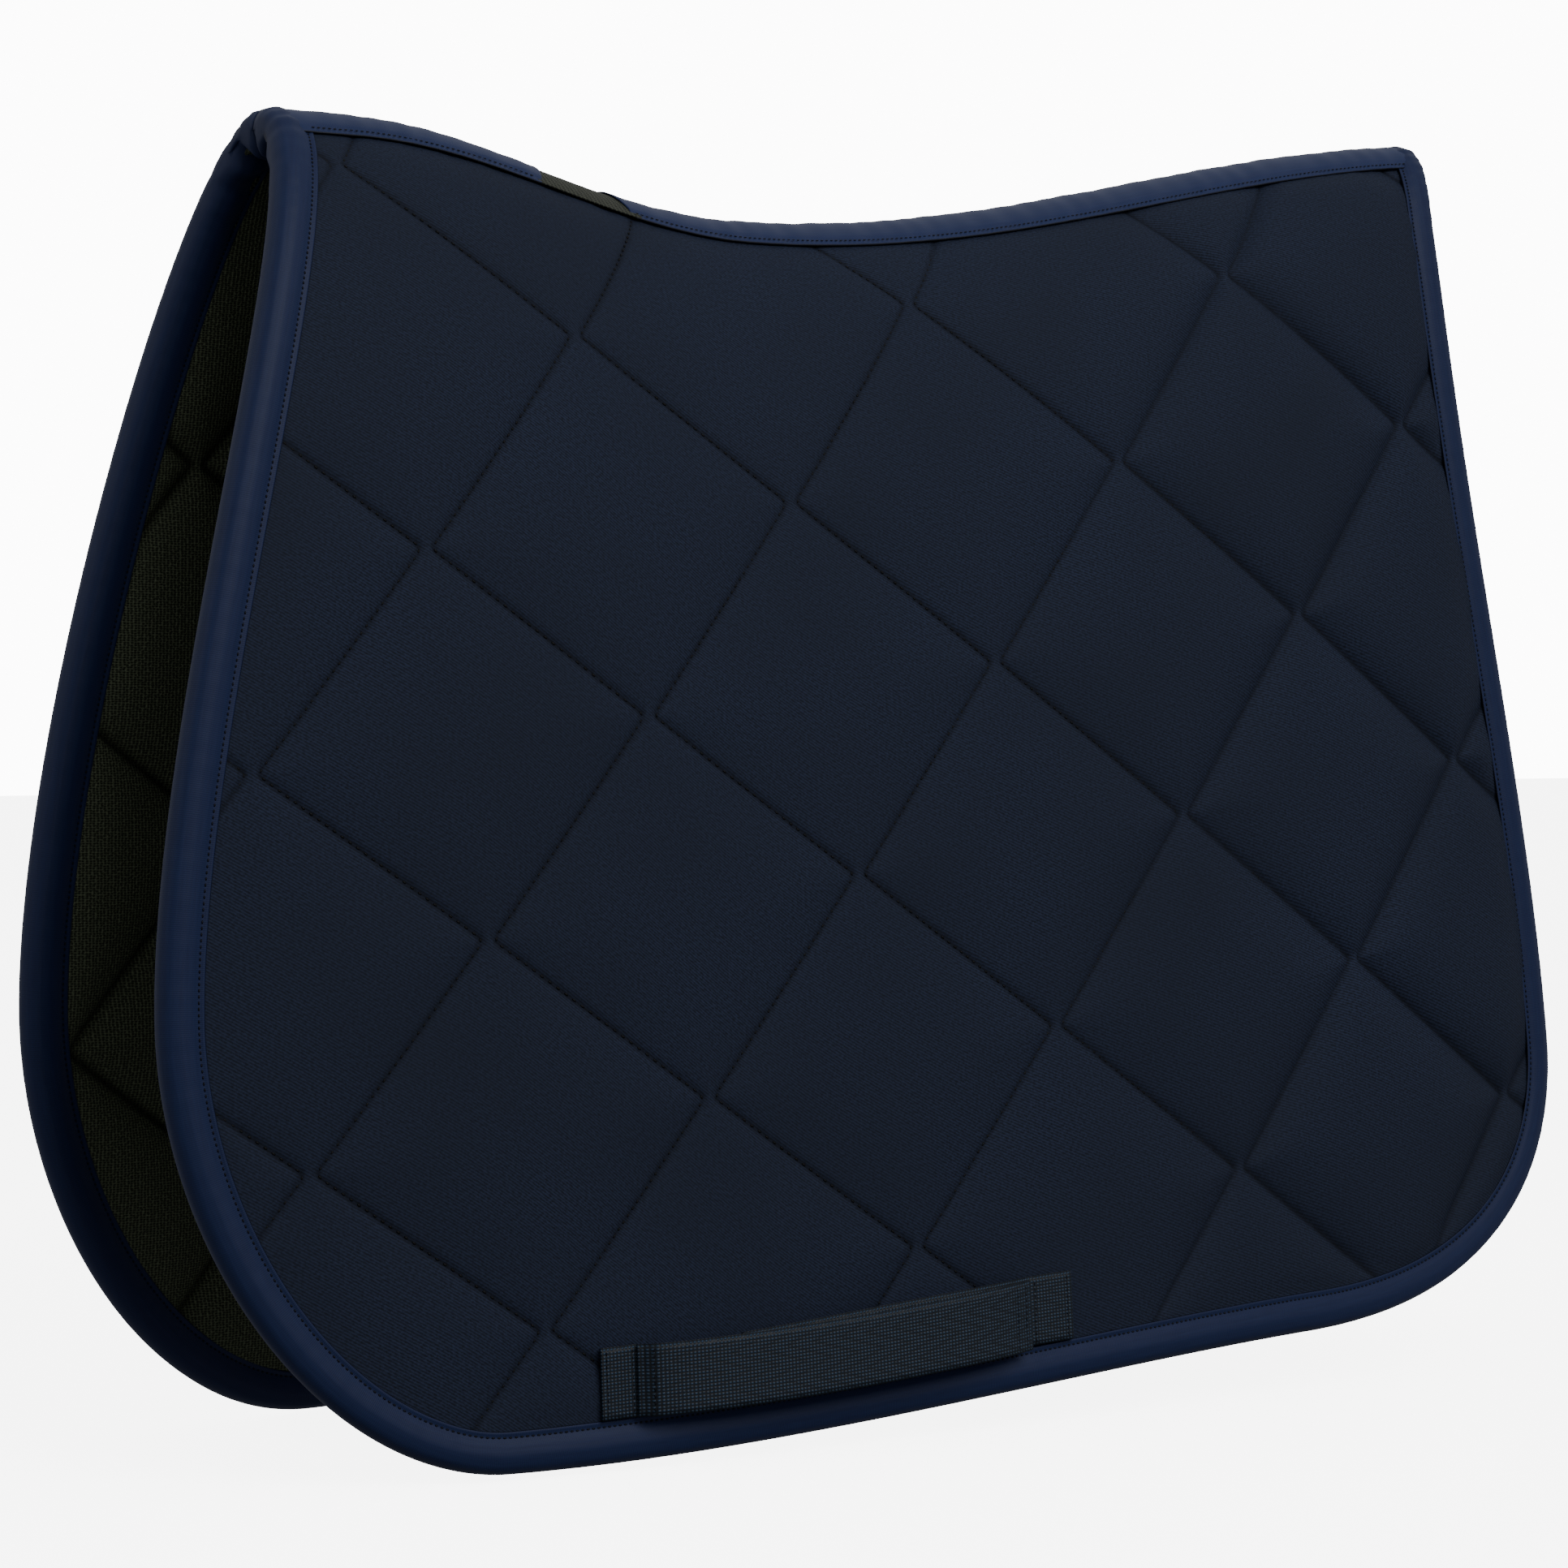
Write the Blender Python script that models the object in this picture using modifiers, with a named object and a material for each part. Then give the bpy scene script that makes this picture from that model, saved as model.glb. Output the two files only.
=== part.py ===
"""Quilted saddle pad: two padded flaps joined along a curved spine.

Metres, +Z up. X runs along the spine with the front (withers) at -X, the left
flap hangs at -Y and the right flap at +Y. The origin is on the underside of the
spine at its lowest point, where the pad rests on the back.

Every sheet is laid out flat first, with x along the spine and q outwards from
the ridge, and then lifted onto the draped shape at its own depth below the
outer face. So all layers, tapes and straps follow one shape.
"""
import bmesh
import bpy
import numpy as np

# ---------------------------------------------------------------- driving sizes
SPINE_FRONT = 0.212        # ridge length ahead of its lowest point
SPINE_REAR = 0.359         # ridge length behind its lowest point
FRONT_REACH = 0.282        # furthest forward point of a flap
FRONT_WIDEST = 0.300       # its depth below the origin
REAR_REACH = 0.387         # furthest rearward point of a flap
REAR_WIDEST = 0.333        # its depth below the origin
FLAP_DROP = 0.473          # origin to the flap's lowest point
LOW_X = -0.149             # where along the spine that is
REAR_DROP = 0.447          # origin to the start of the rear corner
TURN_X = 0.227             # where along the spine that is
EDGE_SLOPE = 0.04          # rise of the lower edge at the rear corner

RISE_FRONT = 0.0305        # height of the withers over the lowest point
RUN_FRONT = 0.180          # length of that rise
RISE_REAR = 0.0572         # height of the rear end over the lowest point
RUN_REAR = 0.407           # length of that rise

CROWN_RADIUS = 0.028       # radius of the fold over the spine
HALF_SPREAD = 0.0926       # half width that the flaps stand apart
SPREAD_SKEW = -0.02592     # change of that over the spine's whole length
SPREAD_BOW = -0.11053      # and its curvature over that length
FLARE = 0.0512             # outward slope of a flap below the crown
FLARE_SKEW = 0.1601        # change of the flare along x, per metre

SHELL_THICK = 0.0015       # outer fabric
FOAM_THICK = 0.0090        # quilted foam
LINING_THICK = 0.0015      # spacer-mesh lining
GAP = 0.0003               # between touching layers

BINDING_WIDTH = 0.016      # binding seen on each face
BINDING_THICK = 0.0012
BINDING_CLEAR = 0.0008     # binding to the faces it wraps
EDGE_INSET = 0.0027        # panel edge to the outside of the binding

TAPE_HALF = 0.0295         # half width of the outer spine tape
TAPE_THICK = 0.0012
SEAM_CLEAR = 0.0035        # spine tape to the flap's top edge
FOLD_LIFT = 0.006          # fold line over the ridge's two ends
SPINE_FOAM_HALF = 0.017
SPINE_FOAM_THICK = 0.0080
LINING_TAPE_HALF = 0.012   # half width of the inner spine tape
INSERT_FRONT = 0.094       # mesh insert: front edge ahead of the lowest point
INSERT_LENGTH = 0.033

WEB_WIDTH = 0.0275         # girth keeper webbing
WEB_THICK = 0.0016
HOOK_THICK = 0.0012        # hook tape and loop tape
HOOK_WIDTH = 0.022
KEEPER_FRONT = -0.1145     # x of the front tab's front edge
KEEPER_LENGTH = 0.2125     # over both tabs
FRONT_TAB = 0.0160         # length of the sewn front tab
REAR_TAB = 0.0220          # length of the sewn rear tab
TAB_GAP = 0.002            # between the strap and the tab at either end
KEEPER_CLEAR = 0.0008      # tab to the shell, and between the keeper's layers
KEEPER_BOW = 0.0090        # room for a girth strap behind the keeper
KEEPER_ABOVE_BINDING = 0.001
BASE_FREE = 0.040          # base strap's free end, behind the front tab

COLUMNS = 16               # panel grid along the spine
ROWS = 12                  # panel grid down the flap
SPINE_CELLS = 24
STRAP_CELLS = 12

PAD_THICK = SHELL_THICK + FOAM_THICK + LINING_THICK + 2.0 * GAP
FLAP_TOP = TAPE_HALF + SEAM_CLEAR
LEFT = 1.0
RIGHT = -1.0


# ------------------------------------------------------------------ pad's shape
def ridge(x):
    """Height of the outer crown along the spine."""
    front = np.clip(-x / RUN_FRONT, 0.0, 1.0)
    rear = np.clip(x / RUN_REAR, 0.0, 1.0)
    rise = RISE_FRONT * (1.0 - np.cos(np.pi * front)) + RISE_REAR * (1.0 - np.cos(np.pi * rear))
    return PAD_THICK + 0.5 * rise


def outer_face(x, q):
    """Outer face of the draped pad; q > 0 is the left flap, at -Y."""
    reach = np.abs(q)
    drop = reach ** 2 / (reach + 2.0 * CROWN_RADIUS)
    along = x / (SPINE_FRONT + SPINE_REAR)
    spread = HALF_SPREAD + SPREAD_SKEW * along + SPREAD_BOW * along ** 2
    knee = spread ** 2 / (2.0 * CROWN_RADIUS)
    across = spread * q / np.sqrt(reach ** 2 + knee * (reach + 2.0 * CROWN_RADIUS))
    across = across + np.sign(q) * (FLARE + FLARE_SKEW * x) * drop
    return np.stack([x, -across, ridge(x) - drop], axis=-1)


def lift(x, q, depth):
    """Point at a depth below the outer face, for arrays of x, q and depth."""
    step = 1e-4
    along = outer_face(x + step, q) - outer_face(x - step, q)
    down = outer_face(x, q + step) - outer_face(x, q - step)
    normal = np.cross(along, down)
    normal = normal / np.linalg.norm(normal, axis=-1, keepdims=True)
    return outer_face(x, q) + normal * np.asarray(depth)[..., None]


# -------------------------------------------------------------- flap's outline
def bezier(start, leave, arrive, end, count=80):
    t = np.linspace(0.0, 1.0, count)[:, None]
    points = [np.array(p) for p in (start, leave, arrive, end)]
    return (points[0] * (1 - t) ** 3 + 3 * points[1] * t * (1 - t) ** 2
            + 3 * points[2] * t ** 2 * (1 - t) + points[3] * t ** 3)


def flat_reach(x, height):
    """Flat distance from the ridge of a point at a height on the outer face."""
    drop = np.maximum(ridge(x) - height, 0.0)
    return 0.5 * (drop + np.sqrt(drop ** 2 + 8.0 * CROWN_RADIUS * drop))


def outline():
    """Flap's edge from the ridge's front end round to its rear end, as x and q.

    It is drawn in side view, as x and height, and then laid flat.
    """
    front_end = (-SPINE_FRONT, float(ridge(np.array(-SPINE_FRONT))))
    rear_end = (SPINE_REAR, float(ridge(np.array(SPINE_REAR))))
    front = (-FRONT_REACH, -FRONT_WIDEST)
    low = (LOW_X, -FLAP_DROP)
    turn = (TURN_X, -REAR_DROP)
    rear = (REAR_REACH, -REAR_WIDEST)
    waist = (SPINE_REAR - 0.007, 0.025)
    runs = [
        bezier(front_end, (front_end[0] - 0.010, -0.006), (front[0], front[1] + 0.109), front),
        bezier(front, (front[0], front[1] - 0.088), (low[0] - 0.070, low[1]), low),
        bezier(low, (low[0] + 0.12, low[1]),
               (turn[0] - 0.12, turn[1] - 0.12 * EDGE_SLOPE), turn),
        bezier(turn, (turn[0] + 0.114, turn[1] + 0.114 * EDGE_SLOPE),
               (rear[0], rear[1] - 0.055), rear),
        bezier(rear, (rear[0], rear[1] + 0.110), (waist[0], waist[1] - 0.115), waist),
        bezier(waist, (waist[0], waist[1] + 0.008),
               (rear_end[0] - 0.004, rear_end[1] - 0.008), rear_end),
    ]
    side_view = np.concatenate([runs[0]] + [run[1:] for run in runs[1:]])
    return np.stack([side_view[:, 0], flat_reach(side_view[:, 0], side_view[:, 1])], axis=1)


def edge_frame():
    """Arc length, point and inward normal all along the flat outline."""
    points = outline()
    steps = np.linalg.norm(np.diff(points, axis=0), axis=1)
    length = np.concatenate([[0.0], np.cumsum(steps)])
    tangent = np.gradient(points, length, axis=0)
    tangent = tangent / np.linalg.norm(tangent, axis=1, keepdims=True)
    inward = np.stack([tangent[:, 1], -tangent[:, 0]], axis=1)
    return length, points, inward


EDGE_LENGTH, EDGE_POINT, EDGE_INWARD = edge_frame()


def edge_at(length, inset):
    """Outline point at an arc length, moved inwards by an inset."""
    point = [np.interp(length, EDGE_LENGTH, EDGE_POINT[:, i]) for i in (0, 1)]
    inward = [np.interp(length, EDGE_LENGTH, EDGE_INWARD[:, i]) for i in (0, 1)]
    return np.stack([point[0] + inward[0] * inset, point[1] + inward[1] * inset], axis=-1)


def ease(t):
    """0 to 1, with closer steps near both ends."""
    return t - 0.55 * np.sin(2.0 * np.pi * t) / (2.0 * np.pi)


def edge_stations():
    """Arc lengths of the panel grid's stations: front, bottom and rear sides."""
    along, reach = EDGE_POINT.T
    low = np.argmax(reach)
    begin = np.interp(FLAP_TOP, reach[:low], EDGE_LENGTH[:low])
    finish = np.interp(-FLAP_TOP, -reach[low:], EDGE_LENGTH[low:])
    front_corner = EDGE_LENGTH[np.argmax(reach - along)]
    rear_corner = EDGE_LENGTH[np.argmax(reach + along)]
    down = ease(np.arange(ROWS + 1) / ROWS)
    front = begin + (front_corner - begin) * down
    bottom = front_corner + (rear_corner - front_corner) * ease(np.arange(COLUMNS + 1) / COLUMNS)
    rear = finish + (rear_corner - finish) * down
    return front, bottom, rear


FRONT_STATIONS, BOTTOM_STATIONS, REAR_STATIONS = edge_stations()
RIM_STATIONS = np.concatenate([FRONT_STATIONS, BOTTOM_STATIONS[1:], REAR_STATIONS[-2::-1]])


def panel_flat(s, t):
    """Flat point of a panel: s from front to rear, t from the spine down."""
    column = np.rint(s * COLUMNS).astype(int)
    row = np.rint(t * ROWS).astype(int)
    front = edge_at(FRONT_STATIONS, EDGE_INSET)
    bottom = edge_at(BOTTOM_STATIONS, EDGE_INSET)
    rear = edge_at(REAR_STATIONS, EDGE_INSET)
    front[0, 1] = rear[0, 1] = FLAP_TOP
    fall = ease(row / ROWS)[:, None]
    s = ease(s)[:, None]
    top = front[0] * (1 - s) + rear[0] * s
    corners = (top * (1 - fall) + (front[-1] * (1 - s) + rear[-1] * s) * fall)
    return top * (1 - fall) + bottom[column] * fall + front[row] * (1 - s) + rear[row] * s - corners


# ------------------------------------------------------------------- building
def clear_scene():
    for item in list(bpy.data.objects):
        bpy.data.objects.remove(item, do_unlink=True)


def make_material(name, colour, roughness):
    material = bpy.data.materials.new(name)
    material.use_nodes = True
    shader = material.node_tree.nodes["Principled BSDF"]
    shader.inputs["Base Color"].default_value = (*colour, 1.0)
    shader.inputs["Roughness"].default_value = roughness
    shader.inputs["Metallic"].default_value = 0.0
    material.diffuse_color = (*colour, 1.0)
    return material


def make_empty(name, place, collection, parent=None):
    empty = bpy.data.objects.new(name, None)
    empty.empty_display_size = 0.03
    collection.objects.link(empty)
    empty.parent = parent
    empty.location = np.array(place) - (np.array(parent.location) if parent else 0.0)
    return empty


def make_sheet(name, cells, place, thickness, material, collection, side=LEFT, parent=None,
               pivot=(0.0, 0.0, 0.0)):
    """One layer: a grid laid on the shape by place(u, v), then given its thickness.

    place maps two arrays from 0 to 1 to the layer's mid-surface on the left side.
    """
    mesh = bpy.data.meshes.new(name)
    sheet = bmesh.new()
    bmesh.ops.create_grid(sheet, x_segments=cells[0], y_segments=cells[1], size=0.5)
    flat = np.array([vert.co[:2] for vert in sheet.verts]) + 0.5
    solid = place(flat[:, 0], flat[:, 1])
    solid[:, 1] *= side
    for vert, co in zip(sheet.verts, solid - np.array(pivot)):
        vert.co = co
    if side == RIGHT:
        bmesh.ops.reverse_faces(sheet, faces=sheet.faces)
    sheet.to_mesh(mesh)
    sheet.free()
    mesh.shade_smooth()
    mesh.materials.append(material)
    layer = bpy.data.objects.new(name, mesh)
    collection.objects.link(layer)
    layer.parent = parent
    wall = layer.modifiers.new("thickness", "SOLIDIFY")
    wall.thickness = thickness
    wall.offset = 0.0
    wall.use_even_offset = False
    return layer


# ------------------------------------------------------------------- the pieces
def binding_profile():
    """Mid-line of the binding's section: inset from the edge, and depth."""
    out = -BINDING_CLEAR - 0.5 * BINDING_THICK
    back = PAD_THICK - out
    tip = 0.5 * BINDING_THICK
    round_off = 0.0017
    return np.array([
        (BINDING_WIDTH, out),
        (0.5 * BINDING_WIDTH, out),
        (tip + round_off, out),
        (tip, out + round_off),
        (tip, back - round_off),
        (tip + round_off, back),
        (0.5 * BINDING_WIDTH, back),
        (BINDING_WIDTH, back),
    ])


BINDING_CELLS = len(binding_profile()) - 1


def panel_place(depth):
    def place(u, v):
        flat = panel_flat(u, 1.0 - v)
        return lift(flat[:, 0], flat[:, 1], np.full(len(u), depth))
    return place


def flap_binding_place(u, v):
    section = binding_profile()[np.rint(v * BINDING_CELLS).astype(int)]
    stations = RIM_STATIONS[np.rint(u * (len(RIM_STATIONS) - 1)).astype(int)]
    flat = edge_at(stations, section[:, 0])
    flat[(u < 1e-6) | (u > 1.0 - 1e-6), 1] = FLAP_TOP
    return lift(flat[:, 0], flat[:, 1], section[:, 1])


def end_at(q, front, inset):
    """x of the spine's front or rear end at q, moved inwards by an inset."""
    low = np.argmax(EDGE_POINT[:, 1])
    if front:
        return np.interp(np.abs(q), EDGE_POINT[:low, 1], EDGE_POINT[:low, 0]) + inset
    return np.interp(-np.abs(q), -EDGE_POINT[low:, 1], EDGE_POINT[low:, 0]) - inset


def bridge_place(front):
    """Binding over the ridge at the front or rear end."""
    def place(u, v):
        section = binding_profile()[np.rint(v * BINDING_CELLS).astype(int)]
        q = (2.0 * u - 1.0) * TAPE_HALF * (-1.0 if front else 1.0)
        return lift(end_at(q, front, section[:, 0]), q, section[:, 1])
    return place


def strip_place(start, finish, half, depth):
    """A strip along the spine, to a half width either side.

    start and finish are an x, or ("end", inset) for the pad's own curved end.
    """
    def place(u, v):
        q = (1.0 - 2.0 * v) * half
        first = end_at(q, True, start[1]) if isinstance(start, tuple) else start
        last = end_at(q, False, finish[1]) if isinstance(finish, tuple) else finish
        return lift(first + (last - first) * u, q, np.full(len(u), depth))
    return place


def keeper_point(x, across, height):
    """Point on a keeper strap: across its width, and height above the shell."""
    stretch = np.linspace(FRONT_STATIONS[-1], REAR_STATIONS[-1], 200)
    lower = edge_at(stretch, BINDING_WIDTH + KEEPER_ABOVE_BINDING)
    centre = np.interp(x, lower[:, 0], lower[:, 1]) - 0.5 * WEB_WIDTH
    return lift(x, centre - across, -height)


KEEPER_ENDS = (KEEPER_FRONT, KEEPER_FRONT + KEEPER_LENGTH)
BASE_BOTTOM = KEEPER_CLEAR
LOOP_BOTTOM = BASE_BOTTOM + WEB_THICK + GAP
HOOK_BOTTOM = LOOP_BOTTOM + HOOK_THICK + GAP
TOP_BOTTOM = HOOK_BOTTOM + HOOK_THICK + GAP


def keeper_bow(x):
    """How far the straps stand off the flap between their two tabs."""
    start = KEEPER_ENDS[0] + FRONT_TAB
    finish = KEEPER_ENDS[1] - REAR_TAB
    part = np.clip((x - start) / (finish - start), 0.0, 1.0)
    return KEEPER_BOW * (1.0 - (2.0 * part - 1.0) ** 4)


def strap_place(start, finish, width, bottom, thickness):
    def place(u, v):
        x = start + (finish - start) * u
        height = bottom + 0.5 * thickness + keeper_bow(x)
        return keeper_point(x, (v - 0.5) * width, height)
    return place


def build_spine(collection, looks):
    bound = ("end", BINDING_WIDTH + 2.0 * GAP)
    inner = ("end", EDGE_INSET)
    insert = (-INSERT_FRONT, -INSERT_FRONT + INSERT_LENGTH)
    outside = -GAP - 0.5 * TAPE_THICK
    inside = PAD_THICK + GAP + 0.5 * TAPE_THICK
    foam_depth = GAP + 0.5 * SPINE_FOAM_THICK + 0.001
    cells = round(SPINE_CELLS * (SPINE_FRONT - INSERT_FRONT) / (SPINE_FRONT + SPINE_REAR))
    strips = [
        ("spine_tape_front", bound, insert[0] - GAP, TAPE_HALF, outside, TAPE_THICK, cells, "tape"),
        ("withers_mesh_insert", insert[0], insert[1], TAPE_HALF, outside, TAPE_THICK, 2, "mesh"),
        ("spine_tape_rear", insert[1] + GAP, bound, TAPE_HALF, outside, TAPE_THICK,
         SPINE_CELLS - cells - 2, "tape"),
        ("spine_foam", inner, inner, SPINE_FOAM_HALF, foam_depth,
         SPINE_FOAM_THICK, SPINE_CELLS, "foam"),
        ("spine_lining_tape", bound, bound, LINING_TAPE_HALF, inside, TAPE_THICK,
         SPINE_CELLS, "tape"),
    ]
    for name, start, finish, half, depth, thick, count, look in strips:
        make_sheet(name, (count, 4), strip_place(start, finish, half, depth), thick,
                   looks[look], collection)
    for name, at_front in (("front_bridge_binding", True), ("rear_bridge_binding", False)):
        make_sheet(name, (6, BINDING_CELLS), bridge_place(at_front), BINDING_THICK,
                   looks["binding"], collection)


def build_flap(side_name, side, hinge, collection, looks):
    pivot = np.array(hinge.location)
    half = (0.5 * SHELL_THICK, SHELL_THICK + GAP + 0.5 * FOAM_THICK,
            PAD_THICK - 0.5 * LINING_THICK)
    layers = [
        ("shell_panel", half[0], SHELL_THICK, "shell"),
        ("foam_core", half[1], FOAM_THICK, "foam"),
        ("lining_panel", half[2], LINING_THICK, "lining"),
    ]
    for name, depth, thick, look in layers:
        make_sheet(f"{side_name}_{name}", (COLUMNS, ROWS), panel_place(depth), thick,
                   looks[look], collection, side, hinge, pivot)
    make_sheet(f"{side_name}_edge_binding", (len(RIM_STATIONS) - 1, BINDING_CELLS),
               flap_binding_place, BINDING_THICK, looks["binding"], collection, side, hinge, pivot)


def build_keeper(side_name, side, hinge, strap_hinge, collection, looks):
    front, rear = KEEPER_ENDS
    crease = front + FRONT_TAB
    strap_end = rear - REAR_TAB - TAB_GAP
    base_start = crease + BASE_FREE
    flap_pivot = np.array(hinge.location)
    strap_pivot = flap_pivot + np.array(strap_hinge.location)
    sewn = [
        ("keeper_front_tab", front, crease - TAB_GAP, WEB_WIDTH, BASE_BOTTOM, WEB_THICK, 2, "webbing"),
        ("keeper_base_strap", base_start, rear, WEB_WIDTH, BASE_BOTTOM, WEB_THICK, STRAP_CELLS,
         "webbing"),
        ("keeper_loop_tape", base_start + 0.005, strap_end - 0.010, HOOK_WIDTH, LOOP_BOTTOM,
         HOOK_THICK, STRAP_CELLS - 2, "hook"),
    ]
    moving = [
        ("keeper_top_strap", crease, strap_end, WEB_WIDTH, TOP_BOTTOM, WEB_THICK, STRAP_CELLS + 4,
         "webbing"),
        ("keeper_hook_tape", strap_end - 0.075, strap_end - 0.004, HOOK_WIDTH, HOOK_BOTTOM,
         HOOK_THICK, STRAP_CELLS // 2, "hook"),
    ]
    for rows, parent, pivot in ((sewn, hinge, flap_pivot), (moving, strap_hinge, strap_pivot)):
        for name, start, finish, width, bottom, thick, count, look in rows:
            make_sheet(f"{side_name}_{name}", (count, 1),
                       strap_place(start, finish, width, bottom, thick), thick,
                       looks[look], collection, side, parent, pivot)


def main():
    clear_scene()
    collection = bpy.data.collections.new("saddle_pad")
    bpy.context.scene.collection.children.link(collection)
    looks = {
        "shell": make_material("shell_fabric", (0.011, 0.015, 0.030), 0.75),
        "foam": make_material("quilt_foam", (0.60, 0.60, 0.57), 0.90),
        "lining": make_material("spacer_lining", (0.006, 0.010, 0.007), 0.85),
        "binding": make_material("satin_binding", (0.016, 0.028, 0.085), 0.45),
        "tape": make_material("satin_tape", (0.017, 0.030, 0.090), 0.45),
        "mesh": make_material("vent_mesh", (0.050, 0.055, 0.045), 0.80),
        "webbing": make_material("keeper_webbing", (0.014, 0.028, 0.050), 0.60),
        "hook": make_material("hook_and_loop", (0.010, 0.012, 0.018), 0.85),
    }
    build_spine(collection, looks)
    hinge_x = 0.5 * (SPINE_REAR - SPINE_FRONT)
    front_end = ridge(np.array(-SPINE_FRONT))
    rear_end = ridge(np.array(SPINE_REAR))
    hinge_place = (hinge_x, 0.0, 0.5 * float(front_end + rear_end) + FOLD_LIFT)
    print("flap hinge", hinge_place, "axis rise", float(rear_end - front_end), "over",
          SPINE_REAR + SPINE_FRONT)
    for side_name, side in (("left", LEFT), ("right", RIGHT)):
        hinge = make_empty(f"{side_name}_flap_hinge", hinge_place, collection)
        crease = np.array([KEEPER_ENDS[0] + FRONT_TAB])
        height = TOP_BOTTOM + 0.5 * WEB_THICK
        ends = [keeper_point(crease, np.array([end]), np.array([height]))[0]
                for end in (-0.5 * WEB_WIDTH, 0.5 * WEB_WIDTH)]
        middle = 0.5 * (ends[0] + ends[1]) * np.array([1.0, side, 1.0])
        rise = (ends[1] - ends[0]) * np.array([1.0, side, 1.0])
        print(side_name, "keeper hinge", middle.round(5), "axis", (rise / np.linalg.norm(rise)).round(4))
        strap_hinge = make_empty(f"{side_name}_keeper_hinge", middle, collection, hinge)
        build_flap(side_name, side, hinge, collection, looks)
        build_keeper(side_name, side, hinge, strap_hinge, collection, looks)


main()
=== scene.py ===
# %% [markdown]
# # Quilted saddle pad
#
# A saddle pad is two padded flaps joined along a curved spine. Every layer of it is a flat
# cut of cloth, draped over one shape: the horse's back. So this script works in flat cloth
# coordinates first, x along the spine and q outwards from the ridge, and then lifts each
# point onto the draped shape at its own depth below the outer face. The padded panels are
# blown up by a cloth simulation, and the seams, stitches and tapes are laid on afterwards.

import bmesh
import bpy
import numpy as np
from mathutils import Matrix, Vector, kdtree


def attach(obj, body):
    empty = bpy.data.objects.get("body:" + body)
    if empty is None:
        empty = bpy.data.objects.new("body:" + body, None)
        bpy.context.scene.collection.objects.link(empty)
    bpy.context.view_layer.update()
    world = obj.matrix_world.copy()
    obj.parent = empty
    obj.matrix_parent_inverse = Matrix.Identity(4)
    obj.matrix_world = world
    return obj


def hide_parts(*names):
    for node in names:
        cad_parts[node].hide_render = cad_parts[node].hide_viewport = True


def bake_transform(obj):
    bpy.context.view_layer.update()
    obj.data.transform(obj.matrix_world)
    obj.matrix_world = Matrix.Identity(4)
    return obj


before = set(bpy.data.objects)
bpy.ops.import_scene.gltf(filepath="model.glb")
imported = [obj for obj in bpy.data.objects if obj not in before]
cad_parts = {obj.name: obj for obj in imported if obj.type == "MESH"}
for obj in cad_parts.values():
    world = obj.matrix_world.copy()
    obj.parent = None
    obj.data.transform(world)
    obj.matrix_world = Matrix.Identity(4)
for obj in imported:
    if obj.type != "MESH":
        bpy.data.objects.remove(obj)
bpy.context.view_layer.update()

MM = 0.001
PAD_THICK = 12.6 * MM      # shell, foam and lining together
CROWN_RADIUS = 28.0 * MM   # the fold over the spine
HALF_SPREAD = 92.6 * MM    # from the middle to a flap's hanging cloth, at x = 0
TAPE_HALF = 29.5 * MM      # half width of the spine tape
BINDING_WIDTH = 16.5 * MM  # edge binding seen on each face
WEB_WIDTH = 27.5 * MM      # girth keeper webbing
INSERT = (-94.0 * MM, -61.0 * MM)  # front and rear edge of the mesh vent
SPINE_FRONT = 212.0 * MM
SPINE_REAR = 359.0 * MM
RIDGE_RISE = (30.5 * MM, 57.2 * MM)    # how far the ridge rises to the front and to the rear
RISE_LENGTH = (180.0 * MM, 407.0 * MM)

# %% [markdown]
# ## The draped shape
#
# The real pad hangs over a rounded back. One pair of formulas gives that shape: the ridge's
# height along x, and the path that the cloth takes from the ridge down a flap. They are the
# same ones the solid parts use, so each soft piece lands exactly on its solid.

# %% Draped shape
def ridge(x):
    """Height of the outer crown along the spine."""
    rise = 0.0
    for height, length in zip(RIDGE_RISE, (-RISE_LENGTH[0], RISE_LENGTH[1])):
        rise = rise + height * (1.0 - np.cos(np.pi * np.clip(x / length, 0.0, 1.0)))
    return PAD_THICK + 0.5 * rise


def outer_face(x, q):
    """Outer face of the pad, with q > 0 on the left flap, at -Y."""
    reach = np.abs(q)
    drop = reach ** 2 / (reach + 2.0 * CROWN_RADIUS)
    spread = HALF_SPREAD - 0.0454 * x - 0.339 * x ** 2
    knee = spread ** 2 / (2.0 * CROWN_RADIUS)
    across = spread * q / np.sqrt(reach ** 2 + knee * (reach + 2.0 * CROWN_RADIUS))
    across = across + np.sign(q) * (0.0512 + 0.1601 * x) * drop
    return np.stack([x, -across, ridge(x) - drop], axis=-1)


def facing(x, q):
    """Direction from the outer face into the pad."""
    step = 1e-4
    along = outer_face(x + step, q) - outer_face(x - step, q)
    down = outer_face(x, q + step) - outer_face(x, q - step)
    normal = np.cross(along, down)
    return normal / np.linalg.norm(normal, axis=-1, keepdims=True)


def lift(x, q, depth):
    """Point at a depth below the outer face."""
    return outer_face(x, q) + facing(x, q) * np.asarray(depth)[..., None]


def flat_reach(x, height):
    """Flat distance from the ridge of a point at a height."""
    drop = np.maximum(ridge(x) - height, 0.0)
    return 0.5 * (drop + np.sqrt(drop ** 2 + 8.0 * CROWN_RADIUS * drop))


def side_height(x, q):
    """Height of a flat point, as seen from the side."""
    reach = np.abs(q)
    return ridge(x) - reach ** 2 / (reach + 2.0 * CROWN_RADIUS)


# %% [markdown]
# ## The flap's outline
#
# A cutter draws the flap as a few sweeping curves: down the front, round the front corner,
# along the slightly rising lower edge, round the rear corner and back up to the spine. Six
# Bezier curves in side view do the same, and they are then laid out flat.

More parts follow.
